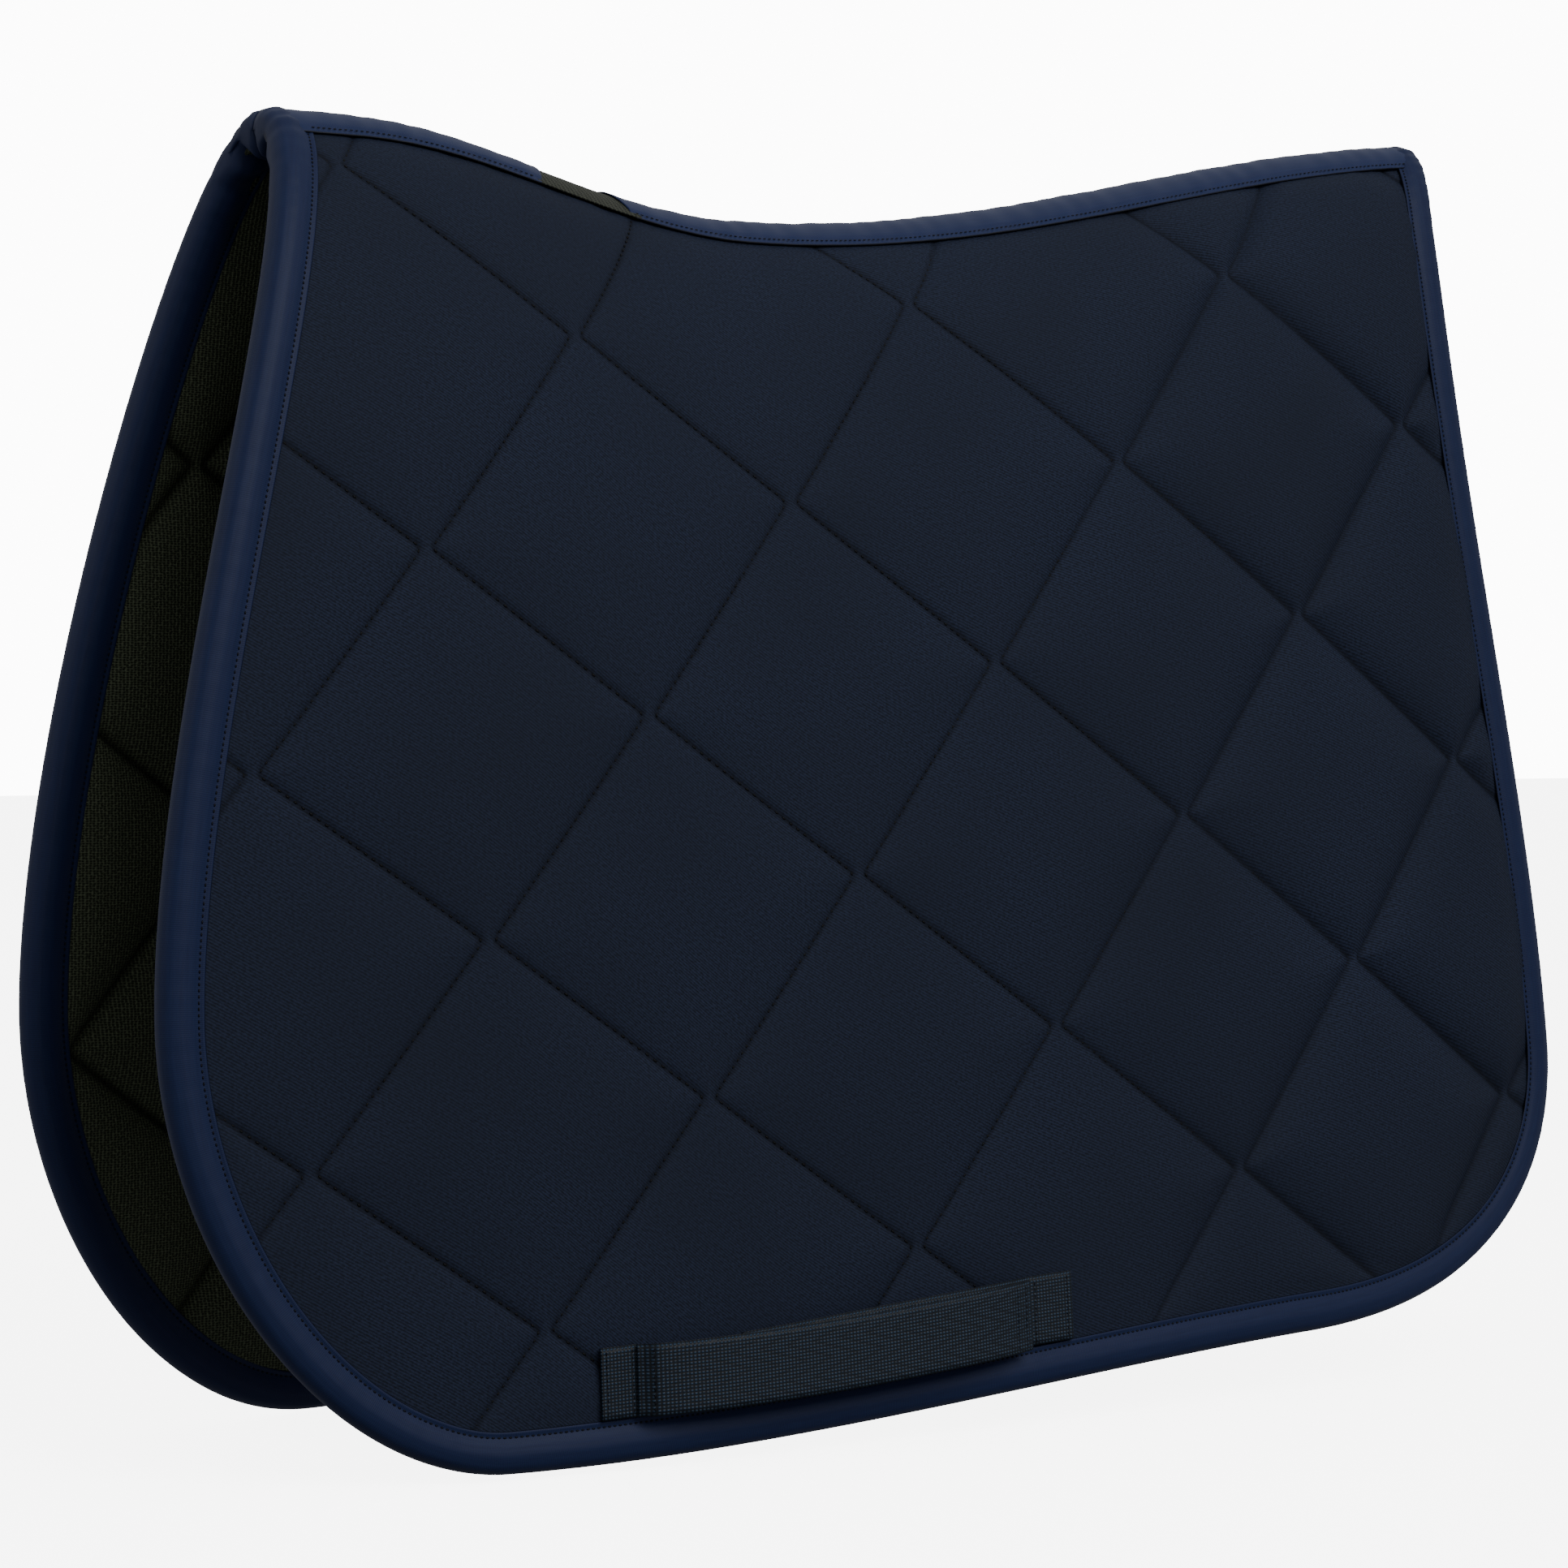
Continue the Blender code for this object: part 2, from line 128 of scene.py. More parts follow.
# %% Outline of a flap
def bezier(start, leave, arrive, end, count=120):
    t = np.linspace(0.0, 1.0, count)[:, None]
    points = [np.array(p) for p in (start, leave, arrive, end)]
    return (points[0] * (1 - t) ** 3 + 3 * points[1] * t * (1 - t) ** 2
            + 3 * points[2] * t ** 2 * (1 - t) + points[3] * t ** 3)


def lengths_along(points):
    """Length along a row of points up to each of them."""
    return np.concatenate([[0.0], np.cumsum(np.linalg.norm(np.diff(points, axis=0), axis=1))])


def points_at(length, lengths, points):
    """Points at these lengths along a row."""
    return np.stack([np.interp(length, lengths, points[:, i]) for i in (0, 1)], axis=-1)


def outline():
    front_end = (-SPINE_FRONT, float(ridge(np.array(-SPINE_FRONT))))
    rear_end = (SPINE_REAR, float(ridge(np.array(SPINE_REAR))))
    front, low, turn, rear = (-0.282, -0.300), (-0.149, -0.473), (0.227, -0.447), (0.387, -0.333)
    waist = (SPINE_REAR - 0.007, 0.025)
    runs = [
        bezier(front_end, (front_end[0] - 0.010, -0.006), (front[0], front[1] + 0.109), front),
        bezier(front, (front[0], front[1] - 0.088), (low[0] - 0.070, low[1]), low),
        bezier(low, (low[0] + 0.12, low[1]), (turn[0] - 0.12, turn[1] - 0.0048), turn),
        bezier(turn, (turn[0] + 0.114, turn[1] + 0.0046), (rear[0], rear[1] - 0.055), rear),
        bezier(rear, (rear[0], rear[1] + 0.110), (waist[0], waist[1] - 0.115), waist),
        bezier(waist, (waist[0], waist[1] + 0.008), (rear_end[0] - 0.004, rear_end[1] - 0.008),
               rear_end),
    ]
    side_view = np.concatenate([runs[0]] + [run[1:] for run in runs[1:]])
    return np.stack([side_view[:, 0], flat_reach(side_view[:, 0], side_view[:, 1])], axis=1)


EDGE = outline()
EDGE_LENGTH = lengths_along(EDGE)
tangent = np.gradient(EDGE, EDGE_LENGTH, axis=0)
tangent = tangent / np.linalg.norm(tangent, axis=1, keepdims=True)
INWARD = np.stack([tangent[:, 1], -tangent[:, 0]], axis=1)
EDGE_TOTAL = EDGE_LENGTH[-1]


def edge_at(length, inset):
    """Flat point at a length along the edge, moved inwards by an inset."""
    inward = points_at(length, EDGE_LENGTH, INWARD)
    return points_at(length, EDGE_LENGTH, EDGE) + inward * np.asarray(inset)[..., None]


def nearest(places):
    """A tree that finds the nearest of these places, which are flat or in space."""
    tree = kdtree.KDTree(len(places))
    for i, place in enumerate(places):
        tree.insert((*place, 0.0)[:3], i)
    tree.balance()
    return tree


def distances(tree, flat):
    return np.array([tree.find((x, q, 0.0))[2] for x, q in flat])


def swing(x, start, finish):
    """0 before start, 1 after finish, and smooth between."""
    part = np.clip((x - start) / (finish - start), 0.0, 1.0)
    return part * part * (3.0 - 2.0 * part)


def is_inside(flat, polygon):
    """Whether each point lies inside a closed polygon, by counting crossings."""
    x, y = np.asarray(flat).T
    inside = np.zeros(len(x), bool)
    for (x0, y0), (x1, y1) in zip(polygon, np.roll(polygon, 1, axis=0)):
        spans = (y0 > y) != (y1 > y)
        inside ^= spans & (x < (x1 - x0) * (y - y0) / (y1 - y0 + 1e-15) + x0)
    return inside


edge_tree = nearest(edge_at(np.linspace(0.0, EDGE_TOTAL, 2400), np.zeros(2400)))
flat_outline = np.concatenate([EDGE, [[SPINE_REAR, -0.2], [-SPINE_FRONT, -0.2]]])


def inset_of(flat):
    """How far inside the flap's edge each flat point is; negative outside it."""
    gap = distances(edge_tree, flat)
    return np.where(is_inside(flat, flat_outline), gap, -gap)


print("edge of one flap", round(EDGE_TOTAL, 3), "m")

# %% [markdown]
# ## Where the quilting runs
#
# The diamonds aren't sewn as crossing straight lines. A quilting machine sews zigzag columns
# side by side, and the points of neighbouring columns almost touch. Each column steps down
# to the right and then down to the left, with a small rounded turn. In side view the
# diamonds are even, so the columns are drawn there and then laid out flat. Both flaps are
# cut from one quilted roll, wherever the pattern falls, so their diamonds don't line up.

# %% Quilting lines
LATTICE_STARTS = {"left": np.array([-0.1917, 0.0213]), "right": np.array([-0.1385, -0.0045])}
STEP_RIGHT = np.array([0.0911, -0.0627])   # one diamond side, down to the rear
STEP_LEFT = np.array([-0.0723, -0.0844])   # one diamond side, down to the front
TURN_GAP = 2.0 * MM                        # a zigzag's point to the lattice node
TURN_ROUND = 5.0 * MM                      # length taken by its rounded turn
SHORTEST_RUN = 8                           # points, about 1 mm apart
CORNER_PULL = np.array([-0.008, -0.006])   # the bound rear corner draws the cloth in


def lattice(start, a, b):
    """Side-view point of lattice coordinates a and b."""
    a, b = np.asarray(a)[..., None], np.asarray(b)[..., None]
    point = start + a * STEP_RIGHT + b * STEP_LEFT
    at_corner = swing(point[..., :1], 0.18, 0.34) * swing(point[..., 1:], -0.05, 0.06)
    return point + CORNER_PULL * at_corner


def zigzag(start, column):
    """One sewn column in side view, as points about 1 mm apart."""
    corners = []
    for row in range(-6, 8):
        corners.append(lattice(start, column + row, row) + (TURN_GAP, 0.0))
        corners.append(lattice(start, column + row + 1, row) - (TURN_GAP, 0.0))
    corners = np.array(corners)
    path = []
    for before, corner, after in zip(corners, corners[1:], corners[2:]):
        enter = corner + (before - corner) / np.linalg.norm(before - corner) * TURN_ROUND
        leave = corner + (after - corner) / np.linalg.norm(after - corner) * TURN_ROUND
        path.append(bezier(enter, corner, corner, leave, count=9))
    bends = np.concatenate(path)
    steps = lengths_along(bends)
    return points_at(np.arange(0.0, steps[-1], 1.0 * MM), steps, bends)


def sewn_runs(start, edge_gap, tape_gap):
    """Flat runs of the columns that lie inside the edge by a gap and below the tape."""
    runs = []
    for column in range(-6, 9):
        side_view = zigzag(start, column)
        x = side_view[:, 0]
        flat = np.stack([x, flat_reach(x, side_view[:, 1])], axis=1)
        near = (x > -0.3) & (x < 0.4) & (side_view[:, 1] < ridge(x) - 1e-4) & (flat[:, 1] < 0.6)
        kept = near.copy()
        kept[near] = (inset_of(flat[near]) > edge_gap) & (flat[near, 1] > tape_gap)
        for run in np.split(np.arange(len(x)), np.nonzero(~kept)[0]):
            run = run[kept[run]]
            if len(run) > SHORTEST_RUN:
                runs.append(flat[run])
    return runs


quilts = {}
for side, start in LATTICE_STARTS.items():
    hidden = sewn_runs(start, 4.0 * MM, 8.0 * MM)
    # Seams that run down to the rear get full channel depth and full painted shade; seams that
    # run down to the front get 0.7 of both.
    pull_and_shade = [np.where(np.gradient(run[:, 0]) > 0.0, 1.0, 0.7) for run in hidden]
    quilts[side] = {"runs": sewn_runs(start, BINDING_WIDTH, TAPE_HALF),
                    "tree": nearest(np.concatenate(hidden)), "pull_and_shade": np.concatenate(pull_and_shade)}
    print(side, len(quilts[side]["runs"]), "runs of quilting,",
          sum(len(run) for run in quilts[side]["runs"]) / 1000, "m")

# %% [markdown]
# ## Materials
#
# Each finish is a small node network. Colours are the sRGB hex values a swatch book would
# give, turned to linear light by one function. Patterns read the UV map, which holds flat
# cloth coordinates in metres, so a weave follows the cloth and has its real thread size.

# %% Material helpers
def colour(hex_value):
    """Linear RGBA of an sRGB hex colour."""
    parts = [int(hex_value[i:i + 2], 16) / 255.0 for i in (1, 3, 5)]
    return [p / 12.92 if p <= 0.04045 else ((p + 0.055) / 1.055) ** 2.4 for p in parts] + [1.0]


def add_node(tree, kind, inputs, **settings):
    """Adds a shader node with its settings; an input takes a value or a node's socket."""
    made = tree.nodes.new("ShaderNode" + kind)
    for setting, value in settings.items():
        setattr(made, setting, value)
    for socket, value in inputs.items():
        if isinstance(value, bpy.types.NodeSocket):
            tree.links.new(value, made.inputs[socket])
        else:
            made.inputs[socket].default_value = value
    return made


def start_material(name, roughness, sheen=0.0, sheen_tint="#ffffff", specular=0.5):
    """A named material, its node tree, its shader and its flat cloth coordinates."""
    material = bpy.data.materials.new(name)
    material.use_nodes = True
    tree = material.node_tree
    shader = tree.nodes["Principled BSDF"]
    for socket, value in (("Roughness", roughness), ("Specular IOR Level", specular),
                          ("Sheen Weight", sheen), ("Sheen Roughness", 0.5),
                          ("Sheen Tint", colour(sheen_tint))):
        shader.inputs[socket].default_value = value
    flat = add_node(tree, "UVMap", {}, uv_map="flat")
    return material, tree, shader, flat.outputs["UV"]


def bands(period):
    """Scale that gives a wave texture this period in metres."""
    return 2.0 * np.pi / (20.0 * period)


def mix_colours(tree, factor, first, second):
    """Socket of a mix of two colours, each a hex value or another node's socket."""
    first, second = (colour(c) if isinstance(c, str) else c for c in (first, second))
    return add_node(tree, "Mix", {0: factor, 6: first, 7: second},
                    data_type="RGBA").outputs[2]


def show(tree, shader, dyed, relief, strength, distance):
    """Gives the shader its colour, and a fine relief of this distance."""
    tree.links.new(dyed, shader.inputs["Base Color"])
    bump = add_node(tree, "Bump", {"Height": relief, "Strength": strength, "Distance": distance})
    tree.links.new(bump.outputs[0], shader.inputs["Normal"])


def paint_seam_shade(tree, dyed, dark):
    """The cloth's colour with painted shade along its sewn seams, as strong as the seam
    attribute.
    """
    seam_shade_amount = add_node(tree, "Attribute", {}, attribute_name="seam")
    return mix_colours(tree, seam_shade_amount.outputs["Fac"], dyed, dark)


# %% [markdown]
# ### Shell fabric
#
# The shell is a tightly woven polyester and cotton twill with a brushed, matt face. What the
# eye sees is almost black navy with a very fine grain and a faint bloom of fuzz. The real
# threads are 0.3 mm apart, too fine to show, so the twill line here is drawn at 1.1 mm.

# %% Brushed twill
twill, tree, shader, flat = start_material("brushed_polycotton_twill", 0.8, 0.03, "#3a4a78", 0.08)
turned = add_node(tree, "Mapping", {"Vector": flat, "Rotation": (0.0, 0.0, 1.05)})
lines = add_node(tree, "TexWave", {"Vector": turned.outputs[0], "Scale": bands(1.1 * MM),
                                   "Distortion": 1.2, "Detail": 2.0, "Detail Scale": 3.0})
fuzz = add_node(tree, "TexNoise", {"Vector": flat, "Scale": 800.0, "Detail": 3.0})
cloudy = add_node(tree, "TexNoise", {"Vector": flat, "Scale": 9.0, "Detail": 3.0})
grain = add_node(tree, "Mix", {0: 0.7, 2: lines.outputs["Fac"], 3: fuzz.outputs["Fac"]})
speckle = add_node(tree, "MapRange", {"Value": grain.outputs[0], "From Min": 0.3,
                                      "From Max": 0.7})
dye = mix_colours(tree, speckle.outputs[0], "#06080f", "#1d2437")
bloom = mix_colours(tree, cloudy.outputs["Fac"], dye, "#11151f")
# Painted shade along the shell's seams, down to #020306 at full strength.
show(tree, shader, paint_seam_shade(tree, bloom, "#020306"), grain.outputs[0], 0.35, 0.25 * MM)

# %% [markdown]
# ### Lining
#
# The lining is a spacer mesh: two knitted faces held apart by threads, so that air passes.
# It looks green-black with rows of small dark holes about 1.5 mm apart and lighter ribs.

# %% Spacer mesh knit
knit, tree, shader, flat = start_material("spacer_mesh_knit", 0.8, 0.02, "#5a6a50", 0.08)
stretch = add_node(tree, "Mapping", {"Vector": flat, "Scale": (1.0, 1.5, 1.0)})
holes = add_node(tree, "TexVoronoi", {"Vector": stretch.outputs[0], "Scale": 1.0 / (1.5 * MM),
                                      "Randomness": 0.3}, feature="F1", voronoi_dimensions="2D")
rib = add_node(tree, "MapRange", {"Value": holes.outputs["Distance"], "From Min": 0.15,
                                  "From Max": 0.6})
yarn = add_node(tree, "TexNoise", {"Vector": flat, "Scale": 1200.0, "Detail": 2.0})
thread_colour = mix_colours(tree, yarn.outputs["Fac"], "#1f241c", "#575e4b")
knit_colour = mix_colours(tree, rib.outputs[0], "#10120e", thread_colour)
# Painted shade along the lining's seams, down to #020302 at full strength.
show(tree, shader, paint_seam_shade(tree, knit_colour, "#020302"), rib.outputs[0], 0.8, 0.5 * MM)

# %% [markdown]
# ### Satin tapes
#
# Binding and spine tape are polyester satin: long float threads that lie side by side, so
# light slides along them. It is a clearer navy than the shell, with a soft sheen and a fine
# crosswise rib, 0.8 mm apart here so that it just shows.

# %% Satin tape
def satin(name, dark, light, roughness):
    material, tree, shader, flat = start_material(name, roughness, 0.03, "#6f86c8", 0.10)
    rib = add_node(tree, "TexWave", {"Vector": flat, "Scale": bands(0.8 * MM), "Distortion": 0.6,
                                     "Detail": 1.0}, bands_direction="X")
    streak = add_node(tree, "Mapping", {"Vector": flat, "Scale": (60.0, 900.0, 1.0)})
    floats = add_node(tree, "TexNoise", {"Vector": streak.outputs[0], "Scale": 1.0,
                                         "Detail": 2.0})
    mixed = add_node(tree, "Mix", {0: 0.6, 2: rib.outputs["Fac"], 3: floats.outputs["Fac"]})
    dye = mix_colours(tree, mixed.outputs[0], dark, light)
    # Painted shade along both edges of the tape, where it meets the padding: #020308 within 0.3
    # mm of the edge, fading out by 0.9 mm.
    from_hem = add_node(tree, "SeparateXYZ", {0: flat})
    hem = add_node(tree, "MapRange", {"Value": from_hem.outputs["Y"], "From Min": 0.3 * MM,
                                      "From Max": 0.9 * MM})
    dye_with_hem_shade = mix_colours(tree, hem.outputs[0], "#020308", dye)
    show(tree, shader, dye_with_hem_shade, mixed.outputs[0], 0.3, 0.15 * MM)
    return material


binding_satin = satin("polyester_satin_binding", "#0b1127", "#121c38", 0.55)
tape_satin = satin("polyester_satin_spine_tape", "#0e152c", "#162140", 0.5)

# %% [markdown]
# ### Webbing, thread, vent and hook tape
#
# The girth keeper is polyester webbing in a herringbone: four bands across it, whose slanted
# ribs change direction from one to the next. Thread is black or navy polyester. The vent is
# an open olive-grey mesh with 2 mm holes, and hook and loop tapes are dull black fuzz.

# %% Herringbone webbing
webbing, tree, shader, flat = start_material("polyester_herringbone_webbing", 0.5, 0.03,
                                             "#6f8fb0", 0.15)
split = add_node(tree, "SeparateXYZ", {0: flat})
folded = add_node(tree, "Math", {0: split.outputs["Y"], 1: WEB_WIDTH / 4.0}, operation="PINGPONG")
slant = add_node(tree, "Math", {0: split.outputs["X"], 1: 0.36, 2: folded.outputs[0]},
                 operation="MULTIPLY_ADD")
slanted = add_node(tree, "CombineXYZ", {"X": slant.outputs[0]})
ribs = add_node(tree, "TexWave", {"Vector": slanted.outputs[0], "Scale": bands(4.2 * MM),
                                  "Distortion": 0.3})
rib_gap = add_node(tree, "MapRange", {"Value": ribs.outputs["Fac"], "From Max": 0.35,
                                      "To Min": 0.45})
picks = add_node(tree, "TexWave", {"Vector": flat, "Scale": bands(1.5 * MM)})
ends = add_node(tree, "TexWave", {"Vector": flat, "Scale": bands(1.3 * MM)}, bands_direction="Y")
beads = add_node(tree, "Math", {0: picks.outputs["Fac"], 1: ends.outputs["Fac"]},
                 operation="MULTIPLY")
woven = add_node(tree, "Math", {0: beads.outputs[0], 1: rib_gap.outputs[0]}, operation="MULTIPLY")
strands = mix_colours(tree, woven.outputs[0], "#04060a", "#213245")
show(tree, shader, strands, woven.outputs[0], 0.9, 0.35 * MM)

# %% Thread
def thread_material(name, dark, light):
    material, tree, shader, flat = start_material(name, 0.6, 0.0, "#8090b0", 0.1)
    ply = add_node(tree, "TexNoise", {"Vector": flat, "Scale": 2500.0})
    dye = mix_colours(tree, ply.outputs["Fac"], dark, light)
    tree.links.new(dye, shader.inputs["Base Color"])
    return material


black_thread = thread_material("polyester_thread_black", "#020203", "#06070a")
navy_thread = thread_material("polyester_thread_navy", "#020307", "#060812")

# %% Vent mesh and hook tape
vent, tree, shader, flat = start_material("open_vent_mesh", 0.7, 0.03, "#90907a", 0.15)
cells = add_node(tree, "TexVoronoi", {"Vector": flat, "Scale": 1.0 / (2.0 * MM),
                                      "Randomness": 0.1}, voronoi_dimensions="2D")
mesh_rib = add_node(tree, "MapRange", {"Value": cells.outputs["Distance"], "From Min": 0.25,
                                       "From Max": 0.5})
vent_colour = mix_colours(tree, mesh_rib.outputs[0], "#080a08", "#2a2d25")
show(tree, shader, vent_colour, mesh_rib.outputs[0], 0.8, 0.4 * MM)

hook, tree, shader, flat = start_material("nylon_hook_and_loop", 0.85, 0.08, "#404858", 0.1)
loops = add_node(tree, "TexNoise", {"Vector": flat, "Scale": 1500.0, "Detail": 4.0})
loop_colour = mix_colours(tree, loops.outputs["Fac"], "#06080c", "#161a22")
show(tree, shader, loop_colour, loops.outputs["Fac"], 1.0, 0.5 * MM)
print(len(bpy.data.materials), "materials")

# %% [markdown]
# ## From a flat cut to a piece
#
# Every piece goes through the same few steps: its bmesh becomes a mesh, flat cloth
# coordinates become its UV map, and a right-hand piece is turned over the spine.

# %% Piece helpers
BEND_START = 30.0 * MM     # flat distance from the ridge where over_spine's turn starts
BEND_END = 95.0 * MM


def add_object(name, data):
    made = bpy.data.objects.new(name, data)
    bpy.context.scene.collection.objects.link(made)
    return made


def make_piece(name, form, pattern, reach_of, material):
    """Makes an object of a bmesh, with its pattern coordinates and reach from the ridge."""
    mesh = bpy.data.meshes.new(name)
    form.to_mesh(mesh)
    form.free()
    piece = add_object(name, mesh)
    mesh.materials.append(material)
    mesh.shade_smooth()
    uv = mesh.uv_layers.new(name="flat")
    corners = np.zeros(len(mesh.loops), int)
    mesh.loops.foreach_get("vertex_index", corners)
    uv.data.foreach_set("uv", np.asarray(pattern, np.float32)[corners].ravel())
    reach = mesh.attributes.new("reach", "FLOAT", "POINT")
    reach.data.foreach_set("value", np.abs(np.asarray(reach_of, np.float32)))
    return piece


def read_values(mesh, name):
    """A float attribute's value at each vertex."""
    values = np.zeros(len(mesh.vertices), np.float32)
    mesh.attributes[name].data.foreach_get("value", values)
    return values


def turn_over(piece):
    """Turns a piece made for the left flap over the spine to the right one."""
    piece.data.transform(Matrix.Scale(-1.0, 4, (0.0, 1.0, 0.0)))
    piece.data.flip_normals()


def mirrored(piece, name):
    """The right-hand copy of a left-hand piece."""
    twin = piece.copy()
    bpy.context.scene.collection.objects.link(twin)
    twin.data = piece.data.copy()
    twin.name = twin.data.name = name
    turn_over(twin)
    return twin


def over_spine(piece):
    """Bakes the piece's transform into its mesh and works out its turn from the spine's body to a
    flap's, by its flat distance from the ridge; the turn is not applied.
    """
    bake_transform(piece)
    turn = swing(read_values(piece.data, "reach"), BEND_START, BEND_END)


def laid_sheet(name, cells, place, thickness, material):
    """A grid laid out by place(u, v), then thickened.

    place gives the points, their pattern coordinates and their flat reach from the ridge.
    """
    form = bmesh.new()
    bmesh.ops.create_grid(form, x_segments=cells[0], y_segments=cells[1], size=0.5)
    spread = np.array([vert.co[:2] for vert in form.verts]) + 0.5
    points, pattern, reach_of = place(spread[:, 0], spread[:, 1])
    for vert, co in zip(form.verts, points):
        vert.co = co
    piece = make_piece(name, form, pattern, reach_of, material)
    wall = piece.modifiers.new("thickness", "SOLIDIFY")
    wall.thickness = thickness
    wall.offset = 0.0
    return piece


# %% [markdown]
# ## Quilted panels
#
# Foam is soft, so a sewn line pulls it down and it swells in between. A panel starts as a
# grid whose lines run along the diamonds, packed closer beside the seams. It is trimmed at
# the flap's edge, given its back, and pre-shaped as foam: deep at a seam and full 15 mm
# away. Then a cloth simulation blows it up, with everything sewn or backed held still. That
# gives the fabric its own tension. The sharp seam channel is pressed in last, because the
# simulation would smooth it away.

# %% A flat quilted blank
CELLS_PER_DIAMOND = 20
MID_DEPTH = 6.3 * MM       # where the shell's half meets the lining's half
CHANNEL_HALF = 1.5 * MM    # half width of a seam's pressed channel
SIM_STEPS = 20


def closer_at_seams(t):
    """0 to 1 within a diamond, with closer steps at both ends."""
    return t - 0.6 * np.sin(2.0 * np.pi * t) / (2.0 * np.pi)


def quilted_blank(start):
    """A closed blank in side view, as (x, height, layer): layer 0 is the face, 1 the back."""
    low, high = np.array([-2, -5]), np.array([7, 6])
    spans = (high - low) * CELLS_PER_DIAMOND
    form = bmesh.new()
    bmesh.ops.create_grid(form, x_segments=int(spans[0]), y_segments=int(spans[1]), size=0.5)
    spots = (np.array([vert.co[:2] for vert in form.verts]) + 0.5) * spans / CELLS_PER_DIAMOND
    whole = np.floor(spots + 1e-6)
    spots = low + whole + closer_at_seams(spots - whole)
    side_view = lattice(start, spots[:, 0], spots[:, 1])
    rim_flat = edge_at(np.linspace(0.001, EDGE_TOTAL - 0.001, 900), np.full(900, 3.0 * MM))
    rim_flat[:, 1] = np.maximum(rim_flat[:, 1], 0.0)
    rim = np.stack([rim_flat[:, 0], side_height(rim_flat[:, 0], rim_flat[:, 1])], axis=1)
    top_x = np.linspace(SPINE_REAR - 3.0 * MM, 3.0 * MM - SPINE_FRONT, 400)
    rim = np.concatenate([rim, np.stack([top_x, ridge(top_x)], axis=1)])
    inside = is_inside(side_view, rim)
    for vert, spot in zip(form.verts, side_view):
        vert.co = (*spot, 0.0)
    rim_tree = nearest(rim)
    outside = []
    for face in form.faces:
        if any(inside[vert.index] for vert in face.verts):
            for vert in face.verts:
                if not inside[vert.index]:
                    vert.co = (*rim[rim_tree.find((*side_view[vert.index], 0.0))[1]], 0.0)
        else:
            outside.append(face)
    bmesh.ops.delete(form, geom=outside, context="FACES")
    bmesh.ops.dissolve_degenerate(form, dist=0.3 * MM, edges=form.edges[:])
    raised = bmesh.ops.extrude_face_region(form, geom=form.faces[:])
    for item in raised["geom"]:
        if isinstance(item, bmesh.types.BMVert):
            item.co.z = 1.0
    return form


blanks = {}
for side, start in LATTICE_STARTS.items():
    form = quilted_blank(start)
    spots = np.array([vert.co[:] for vert in form.verts])
    flat = np.stack([spots[:, 0], flat_reach(spots[:, 0], spots[:, 1])], axis=1)
    blanks[side] = {"form": form, "flat": flat, "layer": spots[:, 2], "inset": inset_of(flat),
                    "sewn": distances(quilts[side]["tree"], flat)}
    print(side, "blank", len(form.verts), "vertices,", len(form.faces), "faces,",
          sum(not edge.is_manifold for edge in form.edges), "open edges")

# %% [markdown]
# ### Foam shape and swelling
#
# The shell's seams are shallow at the front and deeper towards the rear, where the flap
# curves round. The lining is softer, so it puffs more. Under the binding and the spine tape
# the foam is sewn flat. The simulation pins each vertex by how close it is to a seam.

# %% Foam and cloth simulation
def shell_crease(x):
    return (1.7 + 2.6 * swing(x, 0.02, 0.30)) * MM


def shell_puff(x):
    return (0.3 + 3.0 * swing(x, 0.08, 0.33)) * MM


def lining_crease(x):
    return np.full(len(x), 5.0 * MM)


def lining_puff(x):
    return np.full(len(x), 1.6 * MM)


def held_flat(flat, inset):
    """1 where binding or spine tape hold the foam flat, 0 in the open."""
    binding = np.exp(-np.maximum(inset - BINDING_WIDTH, 0.0) / (3.5 * MM))
    tape = np.exp(-np.maximum(flat[:, 1] - TAPE_HALF, 0.0) / (4.0 * MM))
    return np.maximum(binding, tape)


def foam_depth(flat, sewn, inset, crease, puff):
    """Depth of the foam's face, from its seams, hem and tape; it puffs up between them."""
    held = held_flat(flat, inset)
    seam = crease(flat[:, 0]) * np.exp(-sewn / (7.0 * MM)) * (1.0 - 0.7 * held)
    full = puff(flat[:, 0]) * (1.0 - np.exp(-sewn / (8.0 * MM))) * (1.0 - held)
    return np.maximum(seam, 1.1 * MM * held) - full


def swell(piece, held, pressure, most):
    """Blows a closed piece up as cloth, and moves each point by no more than most."""
    mesh = piece.data
    rest = np.zeros(len(mesh.vertices) * 3)
    mesh.vertices.foreach_get("co", rest)
    rest = rest.reshape(-1, 3)
    group = piece.vertex_groups.new(name="held")
    for i, weight in enumerate(held):
        group.add([i], float(weight), "REPLACE")
    cloth = piece.modifiers.new("swell", "CLOTH")
    for setting, value in {"vertex_group_mass": "held", "quality": 4, "mass": 0.3,
                           "use_pressure": True, "uniform_pressure_force": pressure,
                           "pin_stiffness": 2.0}.items():
        setattr(cloth.settings, setting, value)
    cloth.settings.effector_weights.gravity = 0.0
    cloth.point_cache.frame_end = SIM_STEPS
    scene = bpy.context.scene
    for step in range(1, SIM_STEPS + 1):
        scene.frame_set(step)
    shaped = piece.evaluated_get(bpy.context.evaluated_depsgraph_get()).to_mesh()
    blown = np.zeros(len(shaped.vertices) * 3)
    shaped.vertices.foreach_get("co", blown)
    move = blown.reshape(-1, 3) - rest
    far = np.linalg.norm(move, axis=1)
    print(piece.name, "swelled by", (far.max() / MM).round(1), "mm, kept to", most / MM)
    move = move * (most * np.tanh(far / most) / np.maximum(far, 1e-9))[:, None]
    piece.modifiers.remove(cloth)
    piece.vertex_groups.remove(group)
    mesh.vertices.foreach_set("co", (rest + move).ravel())
    scene.frame_set(1)


